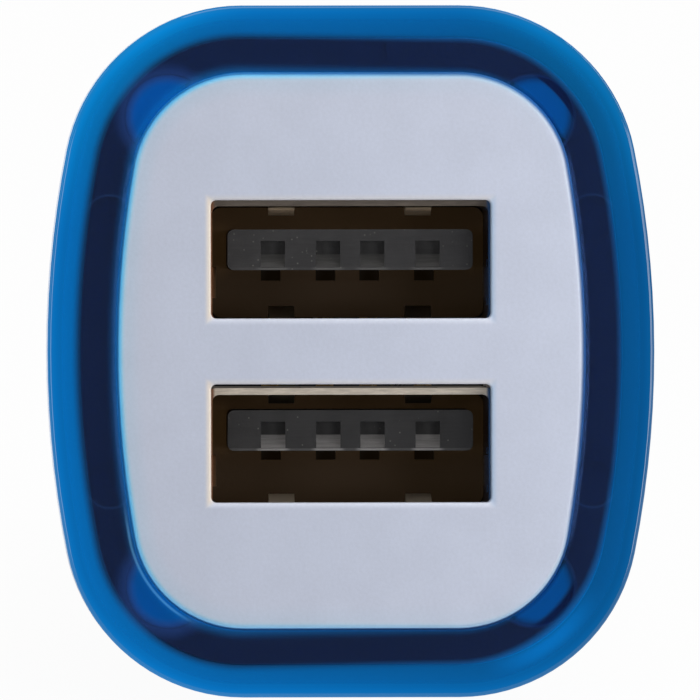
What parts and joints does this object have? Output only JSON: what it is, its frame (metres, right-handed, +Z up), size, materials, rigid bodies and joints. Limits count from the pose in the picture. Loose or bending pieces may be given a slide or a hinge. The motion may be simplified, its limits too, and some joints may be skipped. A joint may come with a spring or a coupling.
{
  "type": "usb car charger",
  "caption": "Plug-in car socket charger with stacked USB ports in a white face plate, a clear blue ring around the head, and a sprung tip and side contacts.",
  "frame": {"origin": "on the surface it lies on, under the middle of its footprint", "axes": "+Y runs along the plug towards its tip, as seen from above, with the face plate towards -Y; +X runs across the face; +Z is up. The plug lies on its side, so its own axis slopes down towards the tip by about 6.5 degrees"},
  "size_m": [0.0276, 0.0668, 0.0318],
  "materials": {
    "white_plate": "fine matt moulded surface",
    "clear_blue": "clear blue, polished",
    "black_body": "fine matt texture",
    "black_nose": "satin",
    "nickel": "bright nickel plate",
    "spring_steel": "drawn wire",
    "brass": "plain",
    "ground_steel": "nickel-plated spring steel",
    "board_green": "solder mask",
    "shell_steel": "tin-plated sheet",
    "charcoal": "glass-filled, matt",
    "contact_gold": "flash gold plate",
    "ferrite": "sintered, dull",
    "copper": "enamelled copper wire",
    "capacitor_can": "plastic sleeve",
    "chip_black": "moulded",
    "led_lens": "cast resin",
    "resistor_black": "ceramic",
    "capacitor_tan": "ceramic"
  },
  "bodies": {
    "charger": {"face_plate": "white_plate", "light_collar": "clear_blue", "main_body": "black_body", "nose_cap": "black_nose", "tip_spring": "spring_steel", "spring_seat": "brass", "main_board": "board_green", "usb_shell_upper": "shell_steel", "usb_shell_lower": "shell_steel", "usb_insulator_upper": "charcoal", "usb_insulator_lower": "charcoal", "usb_contacts_upper": "contact_gold", "usb_contacts_lower": "contact_gold", "inductor_core": "ferrite", "inductor_winding": "copper", "input_capacitor": "capacitor_can", "output_capacitor": "capacitor_can", "regulator_chip": "chip_black", "port_controller_chip": "chip_black", "rectifier_diode": "chip_black", "indicator_leds": "led_lens", "chip_resistors": "resistor_black", "chip_capacitors": "capacitor_tan"},
    "tip": {"tip_contact": "nickel"},
    "left_contact": {"ground_contact_left": "ground_steel"},
    "right_contact": {"ground_contact_right": "ground_steel"}
  },
  "joints": [
    {"name": "tip_press", "type": "slide", "parent": "charger", "child": "tip", "axis": [0, -0.9934, 0.1144], "range_m": [0, 0.0025], "stiffness_N_per_m": 1500, "springref_m": -0.0008, "deforming": ["tip_spring"]},
    {"name": "left_contact_press", "type": "hinge", "parent": "charger", "child": "left_contact", "pos_m": [-0.0092, 0.01473, 0.01092], "axis": [0, 0.1144, 0.9934], "range_deg": [0, 5.5], "stiffness_Nm_per_rad": 0.35, "springref_deg": -1.72},
    {"name": "right_contact_press", "type": "hinge", "parent": "charger", "child": "right_contact", "pos_m": [0.0092, 0.01473, 0.01092], "axis": [0, -0.1144, -0.9934], "range_deg": [0, 5.5], "stiffness_Nm_per_rad": 0.35, "springref_deg": -1.72}
  ]
}
